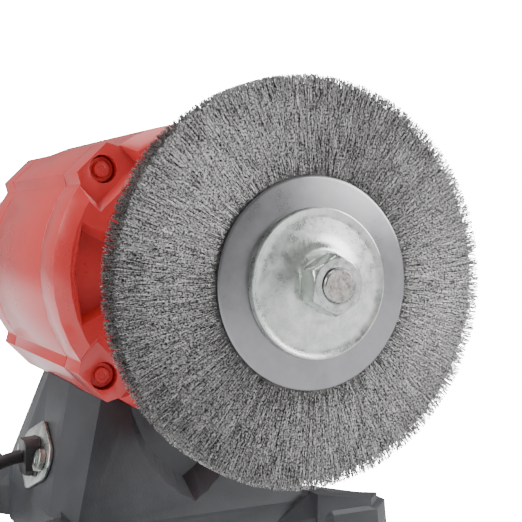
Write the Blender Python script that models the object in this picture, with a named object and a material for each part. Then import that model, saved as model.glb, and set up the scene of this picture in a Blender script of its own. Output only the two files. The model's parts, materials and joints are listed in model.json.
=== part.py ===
# Bench grinder: a motor on a pedestal, with a wire brush on the left end of its spindle and a
# grinding wheel on the right end. Metres, +Z up, X along the spindle, +Y to the rear where the
# lead leaves. The origin is on the surface that the machine stands on, under its middle.
import math

import bmesh
import bpy
from mathutils import Matrix, Vector

# Clearances
GAP = 0.0003  # between pieces that touch
SCREW_ROOM = 0.0003  # radial, round a screw
COVER_ROOM = 0.001  # round the edge of the base cover

# Motor
SHAFT_HEIGHT = 0.138
BARREL_RADIUS = 0.0666
BARREL_BORE = 0.058
BARREL_LENGTH = 0.0932
BOSS_FLAT = 0.0700  # from the axis to the flat of a corner boss
BOSS_HALF_WIDTH = 0.012
BOSS_CUT = 0.0028  # how much narrower a boss is at its flat
BOSS_ANGLES = [math.radians(a) for a in (45, 135, 225, 315)]
BARREL_SEGMENTS = 40
WHEEL_SEGMENTS = 36
BEARING_SEGMENTS = 16
SCREW_SEGMENTS = 8
SHIELD_DEPTH = 0.0263
SHIELD_SLOPE = 0.006  # the sloped band: radial width
SHIELD_BAND = 0.005  # the sloped band: depth
SHIELD_SKIRT_WALL = 0.0061
SHIELD_FACE = 0.0149
SHIELD_HUB_RADIUS = 0.025
SHIELD_HUB_RISE = 0.0041
SHIELD_LIP = 0.0033
SHIELD_LIP_HOLE = 0.013
POCKET_DEPTH = 0.0094
POCKET_HALF_OUTER = 0.0218
POCKET_HALF_INNER = 0.011
POCKET_DRAFT = 0.0035
PAD_DROP = 0.0049  # how far a corner pad lies behind the shield's face
SCREW_CIRCLE = 0.063
SCREW_RADIUS = 0.002
SCREW_HEAD_RADIUS = 0.0056
SCREW_HEAD_HEIGHT = 0.0036
SCREW_SINK = 0.006
SCREW_BITE = 0.012
COUNTERBORE_RADIUS = 0.0062
SOCKET_RADIUS = 0.0024
SOCKET_DEPTH = 0.0018

# Stator and rotor
STATOR_LENGTH = 0.052
STATOR_BORE = 0.030
STATOR_SLOTS = 12
SLOT_BOTTOM = 0.046
SLOT_WIDTH = 0.005
END_TURN_LENGTH = 0.017
END_TURN_INNER = 0.034
END_TURN_OUTER = 0.053
AIR_GAP = 0.0005
ROTOR_SLOTS = 10
ROTOR_SLOT_DEPTH = 0.005
ROTOR_SLOT_WIDTH = 0.003
CAGE_RING = 0.006
CAGE_RING_INNER = 0.015

# Spindle
SPINDLE_HALF_LENGTH = 0.1894
SHOULDER_X = 0.1466
THREAD_RADIUS = 0.006
JOURNAL_RADIUS = 0.0075
CORE_SHAFT_RADIUS = 0.010
SHAFT_CHAMFER = 0.001
SPINDLE_SEGMENTS = 24

# Bearings 15 x 35 x 11
BEARING_RADIUS = 0.0175
BEARING_WIDTH = 0.011
BEARING_BALLS = 8
BALL_RADIUS = 0.00298
BALL_CIRCLE = 0.0125
RACE_DEPTH = 0.0014
RACE_LAND = 0.0018  # from the ball circle to the edge of a ring
WASHER_ROOM = 0.0012
WASHER_THICKNESS = 0.0004

# Wheels and flanges
BRUSH_RADIUS = 0.075
WHEEL_RADIUS = 0.050
FLANGE_RADIUS = 0.0272
FLANGE_RIM = 0.003
FLANGE_BOSS_RADIUS = 0.013
FLANGE_BOSS_RISE = 0.0023
NUT_ACROSS_FLATS = 0.019
NUT_HEIGHT = 0.0097
BRUSH_SPACER = 0.0076
BRUSH_WIDTH = 0.0184
BRUSH_PLATE_RADIUS = 0.0385
BRUSH_PLATE = 0.0012
BRUSH_CORE_RADIUS = 0.022
BRUSH_TIP_WIDTH = 0.0164
WHEEL_SPACER = 0.0057
WHEEL_WIDTH = 0.020
WHEEL_BUSH_RADIUS = 0.016

# Base
FOOT_HEIGHT = 0.006
FOOT_RADIUS = 0.010
FOOT_STEM_RADIUS = 0.004
FOOT_STEM = 0.008
FOOT_X = 0.068
FOOT_Y = 0.085
PLINTH_HALF_X = 0.080
PLINTH_HALF_Y = 0.104
PLINTH_WAIST_X = 0.070
PLINTH_CORNER = 0.0135
PLINTH_LEG_X = 0.050  # the legs' inner faces
PLINTH_SKIRT = 0.0155
PLINTH_WAIST_SKIRT = 0.012
PLINTH_TOP = 0.027
PLINTH_CREST = 0.031
PAD_WIDTH = 0.0095
PAD_EDGE = 0.0025
PAD_START_Y = 0.057
PAD_HIGH = 0.032
PAD_LOW = 0.0263
FACET_HALF_TOP = 0.0173
FACET_HALF_BOTTOM = 0.0372
DEPTH_TOP = 0.044
DEPTH_BOTTOM = 0.061
CORNER_INSET_TOP = 0.0066
CORNER_INSET_BOTTOM = 0.0048
SIDE_TOP = 0.0472
SIDE_BOTTOM = 0.0664
BASE_WALL = 0.004
SADDLE_WALL = 0.0055
RECESS_FLOOR_X = 0.049
RECESS_ARC = 0.0554
RECESS_OFFSET_Y = 0.0284
RECESS_OFFSET_Z = -0.0495  # from the spindle axis
RECESS_DRAFT = 0.38  # how fast the arcs' centres part, going inwards
RECESS_SPREAD = 0.34  # how fast the arcs widen, going outwards
COVER_THICKNESS = 0.0015
COVER_SINK = 0.0006
COVER_BOSS_RADIUS = 0.006
COVER_BOSS_HEIGHT = 0.030
COVER_SCREW_RADIUS = 0.0018
MOUNT_SCREW_X = 0.030
MOUNT_SCREW_RADIUS = 0.0025
MOUNT_SCREW_BITE = 0.005
LEAD_HOLE_RADIUS = 0.006

# Electrics
SWITCH_Z = 0.052
SWITCH_HALF_U = 0.009
SWITCH_HALF_V = 0.0133
SWITCH_DEPTH = 0.020
SWITCH_BEZEL = 0.002
SWITCH_LIP = 0.0028
SWITCH_WALL = 0.0018
SWITCH_WELL = 0.009
ROCKER_TILT = math.radians(8)
ROCKER_PIVOT_DEPTH = 0.001
CAPACITOR_RADIUS = 0.014
CAPACITOR_LENGTH = 0.052
CAPACITOR_Y = -0.022
CAPACITOR_LIFT = 0.0012
CLAMP_THICKNESS = 0.0012
CLAMP_WIDTH = 0.012
CLAMP_FOOT = 0.009
TERMINAL_SIZE = (0.034, 0.016, 0.013)
TERMINAL_Y = 0.024
PLATE_Z = 0.0464
PLATE_HALF_LENGTH = 0.0245
PLATE_HALF_HEIGHT = 0.0165
PLATE_END_RADIUS = 0.0095
PLATE_POINT_HALF = 0.003  # half the width of the blunt point at the top and the bottom
PLATE_THICKNESS = 0.0018
PLATE_SCREW_OFFSET = 0.0155
PLATE_SCREW_RADIUS = 0.002
PLATE_SCREW_HEAD = 0.0053
PLATE_SCREW_HEAD_HEIGHT = 0.0028
GLAND_HALF_WIDTH = 0.0075
GLAND_HALF_HEIGHT = 0.009
GLAND_LENGTH = 0.0055
GLAND_NECK_RADIUS = 0.0058
GLAND_NECK = 0.012
CORD_RADIUS = 0.00325
COIL_CENTRE = (-0.046, 0.160)
COIL_OUTER = 0.050
COIL_INNER = 0.029
COIL_HEIGHT = 0.0136
CORD_ROUTE = [
    (0, 0.0640, 0.0466), (0, 0.0740, 0.0455), (0, 0.0870, 0.0375), (0, 0.0970, 0.0235),
    (0, 0.1070, 0.0095), (0, 0.1160, 0.0045), (0, 0.1250, 0.0034), (0, 0.1334, 0.0034),
]
TAIL_ROUTE = [
    (-0.0726, 0.206, 0.0034), (-0.0800, 0.206, 0.0044), (-0.0880, 0.206, 0.0088),
    (-0.0970, 0.206, 0.0128), (-0.1020, 0.206, 0.0132),
]
PLUG_RADIUS = 0.0128
PLUG_LENGTH = 0.042
PLUG_PIN_RADIUS = 0.0024
PLUG_PIN_LENGTH = 0.019
PLUG_PIN_ROOT = 0.006
PLUG_PIN_OFFSET = 0.0095

# Worked out from the sizes above
BARREL_HALF = BARREL_LENGTH / 2
SHIELD_BACK = BARREL_HALF + GAP
SHIELD_FRONT = BARREL_HALF + SHIELD_DEPTH
PAD_X = SHIELD_FRONT - PAD_DROP
SCREW_SEAT = PAD_X - SCREW_SINK
HUB_X = SHIELD_FRONT + SHIELD_HUB_RISE
LIP_X = HUB_X - SHIELD_LIP
SHIELD_INSIDE = SHIELD_FRONT - SHIELD_FACE
PEDESTAL_TOP = SHAFT_HEIGHT - math.sqrt(BARREL_RADIUS**2 - DEPTH_TOP**2)
SADDLE_BOTTOM = SHAFT_HEIGHT - BARREL_RADIUS - GAP
CAVITY_TOP = SADDLE_BOTTOM - SADDLE_WALL
CAVITY_HALF_X = RECESS_FLOOR_X - BASE_WALL
COVER_LOW = FOOT_HEIGHT + COVER_SINK
COVER_HIGH = COVER_LOW + COVER_THICKNESS
FACET_TILT = math.atan((DEPTH_BOTTOM - DEPTH_TOP) / (PEDESTAL_TOP - PLINTH_TOP))
PLUG_START = Vector(TAIL_ROUTE[-1]) + Vector((-GAP, 0, 0))

LOOKS = {
    "red_paint": ((0.62, 0.06, 0.06), 0.25, 0.0),
    "anthracite": ((0.06, 0.065, 0.07), 0.5, 0.0),
    "zinc": ((0.72, 0.74, 0.72), 0.35, 1.0),
    "steel": ((0.6, 0.6, 0.6), 0.35, 1.0),
    "plate_steel": ((0.45, 0.45, 0.46), 0.4, 1.0),
    "wire": ((0.3, 0.3, 0.3), 0.6, 0.8),
    "abrasive": ((0.86, 0.85, 0.82), 0.9, 0.0),
    "lamination": ((0.3, 0.3, 0.32), 0.5, 1.0),
    "copper": ((0.6, 0.25, 0.12), 0.35, 1.0),
    "aluminium": ((0.7, 0.7, 0.72), 0.4, 1.0),
    "rubber": ((0.02, 0.02, 0.02), 0.8, 0.0),
    "black_plastic": ((0.02, 0.02, 0.022), 0.45, 0.0),
    "white_plastic": ((0.85, 0.85, 0.82), 0.4, 0.0),
    "rocker_red": ((0.7, 0.03, 0.03), 0.3, 0.0),
    "brass": ((0.8, 0.6, 0.3), 0.3, 1.0),
}


def make_look(name):
    colour, roughness, metallic = LOOKS[name]
    look = bpy.data.materials.get(name) or bpy.data.materials.new(name)
    look.use_nodes = True
    shader = look.node_tree.nodes["Principled BSDF"]
    shader.inputs["Base Color"].default_value = (*colour, 1)
    shader.inputs["Roughness"].default_value = roughness
    shader.inputs["Metallic"].default_value = metallic
    return look


# A shape is (points, faces). These functions build one.
def moved(shape, matrix):
    return [matrix @ Vector(p) for p in shape[0]], shape[1]


def merged(shapes):
    points, faces = [], []
    for more_points, more_faces in shapes:
        faces += [[i + len(points) for i in face] for face in more_faces]
        points += more_points
    return points, faces


def loft(loops):
    count = len(loops[0])
    points = [Vector(p) for loop in loops for p in loop]
    faces = [list(range(count))[::-1], [count * (len(loops) - 1) + i for i in range(count)]]
    for k in range(len(loops) - 1):
        for i in range(count):
            j = (i + 1) % count
            faces.append([k * count + i, k * count + j, (k + 1) * count + j, (k + 1) * count + i])
    return points, faces


def ring_loft(outer, inner, x_low, x_high):
    """A tube along X between two outlines of (y, z) points that pair off."""
    loops = [[(x, y, z) for y, z in line]
             for x, line in ((x_low, outer), (x_high, outer), (x_high, inner), (x_low, inner))]
    count = len(outer)
    faces = [[k * count + i, k * count + (i + 1) % count,
              (k + 1) % 4 * count + (i + 1) % count, (k + 1) % 4 * count + i]
             for k in range(4) for i in range(count)]
    return [Vector(p) for loop in loops for p in loop], faces


def turned(profile, segments=SPINDLE_SEGMENTS):
    """Turns (x, radius) points round X: a solid where both ends are on the axis, else a ring."""
    points, rings = [], []
    for x, radius in profile:
        if radius == 0:
            rings.append([len(points)] * segments)
            points.append(Vector((x, 0, 0)))
            continue
        rings.append([len(points) + i for i in range(segments)])
        for i in range(segments):
            angle = 2 * math.pi * i / segments
            points.append(Vector((x, radius * math.cos(angle), radius * math.sin(angle))))
    solid = profile[0][1] == 0
    faces = []
    for k in range(len(rings) - 1 if solid else len(rings)):
        first, second = rings[k], rings[(k + 1) % len(rings)]
        for i in range(segments):
            j = (i + 1) % segments
            corners = dict.fromkeys((first[i], first[j], second[j], second[i]))
            faces.append(list(corners))
    return points, faces


def rod(x_low, x_high, radius, segments=12):
    return turned([(x_low, 0), (x_low, radius), (x_high, radius), (x_high, 0)], segments)


def ring(x_low, x_high, inner, outer, segments=SPINDLE_SEGMENTS):
    return turned([(x_low, inner), (x_low, outer), (x_high, outer), (x_high, inner)], segments)


def block(low, high):
    (x0, y0, z0), (x1, y1, z1) = low, high
    return loft([[(x0, y0, z), (x1, y0, z), (x1, y1, z), (x0, y1, z)] for z in (z0, z1)])


def at_axis(angle, radius, shape):
    """Places a shape, built along X round the axis, at an angle and radius from the axis."""
    offset = Matrix.Translation((0, radius * math.cos(angle), radius * math.sin(angle)))
    return moved(shape, offset)


def upright(shape, x=0.0, y=0.0, z=0.0):
    """Stands a shape that was built along X up along Z."""
    turn = Matrix.Rotation(math.radians(-90), 4, "Y")
    return moved(shape, Matrix.Translation((x, y, z)) @ turn)


# These put a shape in the scene.
def add_part(name, shape, look, parent=None, smooth=35):
    mesh = bpy.data.meshes.new(name)
    mesh.from_pydata([tuple(p) for p in shape[0]], [], shape[1])
    work = bmesh.new()
    work.from_mesh(mesh)
    bmesh.ops.connect_verts_nonplanar(work, angle_limit=0.001, faces=work.faces)
    bmesh.ops.recalc_face_normals(work, faces=work.faces)
    work.to_mesh(mesh)
    work.free()
    mesh.shade_smooth()
    mesh.set_sharp_from_angle(angle=math.radians(smooth))
    part = bpy.data.objects.new(name, mesh)
    bpy.context.collection.objects.link(part)
    if look:
        mesh.materials.append(make_look(look))
    if parent:
        part.parent = parent
    return part


def add_helper(name, shape, parent=None):
    helper = add_part(name, shape, None, parent)
    helper.hide_render = True
    helper.display_type = "WIRE"
    return helper


def combine(part, shape, operation="DIFFERENCE"):
    helper = add_helper(f"{part.name}_{operation.lower()}_{len(part.modifiers)}", shape, part.parent)
    modifier = part.modifiers.new(helper.name, "BOOLEAN")
    modifier.operation = operation
    modifier.solver = "EXACT"
    modifier.object = helper


def add_frame(name, place):
    frame = bpy.data.objects.new(name, None)
    frame.matrix_world = place
    bpy.context.collection.objects.link(frame)
    return frame


def smooth_route(route, step):
    """Points at about one step along a smooth curve through the route's own points."""
    ends = [2 * Vector(route[0]) - Vector(route[1])] + [Vector(p) for p in route]
    ends.append(2 * ends[-1] - ends[-2])
    points = []
    for a, b, c, d in zip(ends, ends[1:], ends[2:], ends[3:]):
        count = max(1, round((c - b).length / step))
        for k in range(count):
            t = k / count
            points.append(0.5 * (2 * b + (c - a) * t + (2 * a - 5 * b + 4 * c - d) * t * t
                                 + (3 * b - a - 3 * c + d) * t**3))
    return points + [ends[-2]]


def add_cord(name, route):
    points = smooth_route(route, 2.5 * CORD_RADIUS * 2)
    curve = bpy.data.curves.new(name, "CURVE")
    curve.dimensions = "3D"
    curve.bevel_depth = CORD_RADIUS
    curve.bevel_resolution = 2
    curve.use_fill_caps = True
    line = curve.splines.new("POLY")
    line.points.add(len(points) - 1)
    for spot, point in zip(line.points, points):
        spot.co = (*point, 1)
    curve.materials.append(make_look("rubber"))
    cord = bpy.data.objects.new(name, curve)
    bpy.context.collection.objects.link(cord)


# Outlines that several pieces share
def motor_outline(grow=0.0):
    """The motor's (y, z) outline about its axis: a circle with four flat corner bosses."""
    radius, flat, half = BARREL_RADIUS + grow, BOSS_FLAT + grow, BOSS_HALF_WIDTH + grow
    foot = math.asin(half / radius)
    outline = []
    for boss in BOSS_ANGLES:
        corner = math.atan((half - BOSS_CUT) / flat)
        reach = math.hypot(half - BOSS_CUT, flat)
        outline += [(radius, boss - foot), (reach, boss - corner), (flat, boss), (reach, boss + corner)]
        arc = math.pi / 2 - 2 * foot
        steps = BARREL_SEGMENTS // 4 - 2
        outline += [(radius, boss + foot + arc * k / steps) for k in range(steps)]
    return [(r * math.cos(a), r * math.sin(a)) for r, a in outline]


def same_angles(outline, radius):
    return [(radius * y / math.hypot(y, z), radius * z / math.hypot(y, z)) for y, z in outline]


def slotted_circle(radius, slot_end, slots, width):
    """A circle of (y, z) points with straight slots from it to slot_end."""
    outline = []
    for k in range(slots):
        middle = 2 * math.pi * k / slots
        side = middle + math.pi / slots
        for r, half in ((radius, -width / 2), (slot_end, -width / 2), (slot_end, width / 2),
                        (radius, width / 2)):
            angle = middle + math.asin(half / r)
            outline.append((r * math.cos(angle), r * math.sin(angle)))
        outline.append((radius * math.cos(side), radius * math.sin(side)))
    return outline


def slot_bars(low_radius, high_radius, width, slots, half_length):
    bar = block((-half_length, low_radius, -width / 2), (half_length, high_radius, width / 2))
    return merged([moved(bar, Matrix.Rotation(2 * math.pi * k / slots, 4, "X"))
                   for k in range(slots)])


def pedestal_outline(z, inset=0.0, half_x=None):
    """The pedestal's section at a height. It tapers from the plinth up, and is straight below that."""
    share = min(1, (PEDESTAL_TOP - z) / (PEDESTAL_TOP - PLINTH_TOP))
    facet_x = FACET_HALF_TOP + (FACET_HALF_BOTTOM - FACET_HALF_TOP) * share - inset / 2
    depth = DEPTH_TOP + (DEPTH_BOTTOM - DEPTH_TOP) * share - inset
    corner = CORNER_INSET_TOP + (CORNER_INSET_BOTTOM - CORNER_INSET_TOP) * share
    side = half_x or SIDE_TOP + (SIDE_BOTTOM - SIDE_TOP) * share - inset
    quarter = [(side, depth - corner), (facet_x, depth)]
    return [(x, y, z) for x, y in four_quarters(quarter)]


def four_quarters(quarter):
    """A closed outline from its first quarter's points, listed from the X side to the Y side."""
    return (quarter + [(-x, y) for x, y in quarter[::-1]]
            + [(-x, -y) for x, y in quarter] + [(x, -y) for x, y in quarter[::-1]])


def facet_place(z, front):
    """The frame of the front or rear facet: X to the right, Y up the facet, Z outwards."""
    share = (PEDESTAL_TOP - z) / (PEDESTAL_TOP - PLINTH_TOP)
    depth = DEPTH_TOP + (DEPTH_BOTTOM - DEPTH_TOP) * share
    sign = -1 if front else 1
    out = Vector((0, sign * math.cos(FACET_TILT), math.sin(FACET_TILT)))
    up = Vector((0, -sign * math.sin(FACET_TILT), math.cos(FACET_TILT)))
    place = Matrix((up.cross(out), up, out)).transposed().to_4x4()
    place.translation = (0, sign * depth, z)
    return place


def for_side(side):
    """Pieces are drawn for the right end. The left end is the same, turned half a turn."""
    return Matrix.Rotation(math.pi if side == "left" else 0, 4, "Z")


# Base
def add_base():
    levels = (FOOT_HEIGHT, PLINTH_TOP, PEDESTAL_TOP + 0.012)
    casting = add_part("base_casting", loft([pedestal_outline(z) for z in levels]), "anthracite")
    combine(casting, plinth(), "UNION")
    combine(casting, merged([foot_pad(sx, sy) for sx in (1, -1) for sy in (1, -1)]), "UNION")
    outline = motor_outline(GAP)
    saddle = loft([[(x, y, z + SHAFT_HEIGHT) for y, z in outline] for x in (-0.12, 0.12)])
    combine(casting, saddle)
    cavity = [pedestal_outline(z, BASE_WALL, CAVITY_HALF_X) for z in (FOOT_HEIGHT - 0.001, PLINTH_TOP, CAVITY_TOP)]
    combine(casting, loft(cavity))
    combine(casting, merged([side_recess(1), side_recess(-1)]))
    boss_low = COVER_HIGH + GAP
    boss_x = CAVITY_HALF_X + 0.001 - COVER_BOSS_RADIUS
    bosses = [upright(rod(boss_low, boss_low + COVER_BOSS_HEIGHT, COVER_BOSS_RADIUS), s * boss_x)
              for s in (1, -1)]
    combine(casting, merged(bosses), "UNION")
    holes = [upright(rod(boss_low - 0.002, boss_low + 0.012, COVER_SCREW_RADIUS + SCREW_ROOM),
                     s * boss_x) for s in (1, -1)]
    holes += [upright(rod(CAVITY_TOP - 0.002, SADDLE_BOTTOM + 0.004, MOUNT_SCREW_RADIUS + SCREW_ROOM),
                      s * MOUNT_SCREW_X) for s in (1, -1)]
    holes.append(upright(rod(CAVITY_TOP - 0.002, SADDLE_BOTTOM + 0.004, LEAD_HOLE_RADIUS)))
    holes += [upright(rod(FOOT_HEIGHT - 0.002, FOOT_HEIGHT + FOOT_STEM + GAP,
                          FOOT_STEM_RADIUS + GAP), sx * FOOT_X, sy * FOOT_Y)
              for sx in (1, -1) for sy in (1, -1)]
    panel = moved(block((-SWITCH_HALF_U - GAP, -SWITCH_HALF_V - GAP, -SWITCH_DEPTH - GAP),
                        (SWITCH_HALF_U + GAP, SWITCH_HALF_V + GAP, 0.004)), facet_place(SWITCH_Z, True))
    back = facet_place(PLATE_Z, False)
    screws = [moved(rod(-0.012, 0.004, PLATE_SCREW_RADIUS + SCREW_ROOM),
                    back @ Matrix.Translation((s * PLATE_SCREW_OFFSET, 0, 0))
                    @ Matrix.Rotation(math.radians(-90), 4, "Y")) for s in (1, -1)]
    combine(casting, merged(holes + [panel, gland_hole()] + screws))

    cover = [[(x, y, level) for x, y, z in pedestal_outline(COVER_HIGH, BASE_WALL + COVER_ROOM, CAVITY_HALF_X - COVER_ROOM)]
             for level in (COVER_LOW, COVER_HIGH)]
    cover = add_part("base_cover", loft(cover), "plate_steel")
    combine(cover, merged([upright(rod(0, 0.02, COVER_SCREW_RADIUS + SCREW_ROOM), s * boss_x)
                           for s in (1, -1)]))
    head = COVER_LOW - GAP
    for s, side in ((-1, "left"), (1, "right")):
        screw = screw_shape(COVER_SCREW_RADIUS, 0.0035, 0.0018, 0.010)
        add_part(f"cover_screw_{side}", upright(screw, s * boss_x, 0, head), "zinc")
        screw = screw_shape(MOUNT_SCREW_RADIUS, 0.0045, 0.004, SADDLE_WALL + GAP * 2 + MOUNT_SCREW_BITE)
        add_part(f"mount_screw_{side}", upright(screw, s * MOUNT_SCREW_X, 0, CAVITY_TOP - GAP), "zinc")
    for sx, side in ((-1, "left"), (1, "right")):
        for sy, end in ((-1, "front"), (1, "rear")):
            foot = turned([(0, 0), (0, FOOT_RADIUS - 0.001), (FOOT_HEIGHT - GAP, FOOT_RADIUS),
                           (FOOT_HEIGHT - GAP, FOOT_STEM_RADIUS),
                           (FOOT_HEIGHT + FOOT_STEM - GAP, FOOT_STEM_RADIUS),
                           (FOOT_HEIGHT + FOOT_STEM - GAP, 0)], 20)
            add_part(f"foot_{end}_{side}", upright(foot, sx * FOOT_X, sy * FOOT_Y), "rubber")


def screw_shape(radius, head_radius, head_height, length, socket=True):
    """A screw along X: its head's underside at 0, its shank running to +length."""
    profile = [(-head_height, 0)]
    if socket:
        profile = [(-head_height + SOCKET_DEPTH, 0), (-head_height + SOCKET_DEPTH, SOCKET_RADIUS),
                   (-head_height, SOCKET_RADIUS)]
        if head_height <= SOCKET_DEPTH:
            profile = [(-head_height / 2, 0), (-head_height, SOCKET_RADIUS / 2)]
    profile += [(-head_height, head_radius), (0, head_radius), (0, radius), (length, radius), (length, 0)]
    return turned(profile, SCREW_SEGMENTS)


def plinth():
    """Two legs run front to rear, joined by a low waist under the pedestal."""
    x0, x1, y1 = PLINTH_LEG_X, PLINTH_HALF_X, PLINTH_HALF_Y
    side, depth, cut = SIDE_BOTTOM, DEPTH_BOTTOM, PLINTH_CORNER
    low = [(PLINTH_WAIST_X, depth - 0.021), (x1, depth + 0.005), (x1, y1 - cut), (x1 - cut, y1),
           (x0 + 0.005, y1), (x0, y1 - 0.006), (x0, depth + 0.005), (x0 - 0.007, depth - 0.0015)]
    high = [(side - 0.0006, depth - 0.009), (side + 0.0036, depth - 0.0035), (side + 0.005, depth + 0.003),
            (side + 0.0026, depth + 0.005), (side - 0.0064, depth + 0.004), (side - 0.0089, depth + 0.003),
            (side - 0.0104, depth - 0.001), (x0 - 0.007, depth - 0.004)]
    skirt = [FOOT_HEIGHT + PLINTH_WAIST_SKIRT] + [FOOT_HEIGHT + PLINTH_SKIRT] * (len(low) - 1)
    crest = [PLINTH_TOP] + [PLINTH_CREST] * (len(high) - 1)
    return loft([around(low, [FOOT_HEIGHT] * len(low)), around(low, skirt, 0.001), around(high, crest)])


def around(quarter, heights, inset=0.0):
    """A closed loop from one quarter's points and their heights."""
    loop = four_quarters([(x - inset, y - inset) for x, y in quarter])
    turn = heights + heights[::-1]
    return [(x, y, z) for (x, y), z in zip(loop, turn + turn)]


def foot_pad(sx, sy):
    """The raised wedge along a leg's outer edge, flush at its inner end and proud at the corner."""
    x0, x1 = PLINTH_HALF_X - PAD_EDGE - PAD_WIDTH, PLINTH_HALF_X - PAD_EDGE
    y0, y1 = PAD_START_Y, PLINTH_HALF_Y - PLINTH_CORNER - PAD_EDGE - 0.001
    plan = [(x0, y0), (x1, y0), (x1, y1), (x0, y1 + PAD_WIDTH)]
    drop = (PAD_HIGH - PAD_LOW) / (y1 - y0)
    low = [(x, y, 0.012) for x, y in plan]
    high = [(x, y, PAD_HIGH - (min(y, y1) - y0) * drop) for x, y in plan]
    return loft([[(x * sx, y * sy, z) for x, y, z in loop] for loop in (low, high)])


def side_recess(sign):
    """The hollow in a side wall, where two arcs meet in a point below the wheel. Its wall leans outwards."""
    loops = []
    for x in (RECESS_FLOOR_X, SIDE_BOTTOM + 0.01):
        offset = RECESS_OFFSET_Y - (x - RECESS_FLOOR_X) * RECESS_DRAFT
        arc_radius = RECESS_ARC + (x - RECESS_FLOOR_X) * RECESS_SPREAD
        half = math.acos(offset / arc_radius)
        angles = [-half + (half + math.radians(20)) * k / 12 for k in range(13)]
        arc = [(-offset + arc_radius * math.cos(a), RECESS_OFFSET_Z + arc_radius * math.sin(a)) for a in angles]
        outline = arc + [(-y, z) for y, z in arc[:0:-1]]
        loops.append([(sign * x, y, z + SHAFT_HEIGHT) for y, z in outline])
    return loft(loops)


def gland_outline(half_width, half_height, cut):
    quarter = [(half_width, half_height - cut), (half_width - cut, half_height)]
    return four_quarters(quarter)


def gland_hole():
    turn = Matrix.Rotation(math.radians(90), 4, "Z")
    place = Matrix.Translation((0, 0, PLATE_Z))
    return moved(rod(DEPTH_TOP - 0.01, DEPTH_BOTTOM + 0.02, GLAND_NECK_RADIUS + GAP, 16), place @ turn)


# Motor
def add_motor():
    axis = Matrix.Translation((0, 0, SHAFT_HEIGHT))
    outline = motor_outline()
    barrel = ring_loft(outline, same_angles(outline, BARREL_BORE), -BARREL_HALF, BARREL_HALF)
    barrel = add_part("motor_barrel", moved(barrel, axis), "red_paint")
    holes = [at_axis(a, SCREW_CIRCLE, rod(s * (BARREL_HALF - SCREW_BITE - 0.002), s * (BARREL_HALF + 0.002),
                                          SCREW_RADIUS + SCREW_ROOM)) for a in BOSS_ANGLES for s in (1, -1)]
    low = -BARREL_RADIUS - 0.002
    holes += [upright(rod(low, -BARREL_RADIUS + MOUNT_SCREW_BITE + GAP, MOUNT_SCREW_RADIUS + SCREW_ROOM),
                      s * MOUNT_SCREW_X) for s in (1, -1)]
    holes.append(upright(rod(low, -BARREL_BORE + 0.002, LEAD_HOLE_RADIUS)))
    combine(barrel, moved(merged(holes), axis))
    for side in ("left", "right"):
        place = axis @ for_side(side)
        add_shield(side, place)
        add_bearing_seat(side, place)
    half = STATOR_LENGTH / 2
    core = slotted_circle(STATOR_BORE, SLOT_BOTTOM, STATOR_SLOTS, SLOT_WIDTH)
    shell = same_angles(core, BARREL_BORE - GAP)
    add_part("stator_core", moved(ring_loft(shell, core, -half, half), axis), "lamination")
    end_turns = []
    for s in (1, -1):
        low, high = s * (half + 0.001), s * (half + END_TURN_LENGTH)
        end_turns.append(turned([(low, END_TURN_INNER), (low, END_TURN_OUTER), (high, END_TURN_OUTER - 0.005),
                                 (high, END_TURN_INNER + 0.003)], 32))
    windings = add_part("stator_windings", moved(end_turns[0], axis), "copper")
    combine(windings, moved(end_turns[1], axis), "UNION")
    bars = slot_bars(STATOR_BORE + 0.0055, SLOT_BOTTOM - 0.0004, SLOT_WIDTH - 0.0008, STATOR_SLOTS, half + 0.003)
    combine(windings, moved(bars, axis), "UNION")


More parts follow.
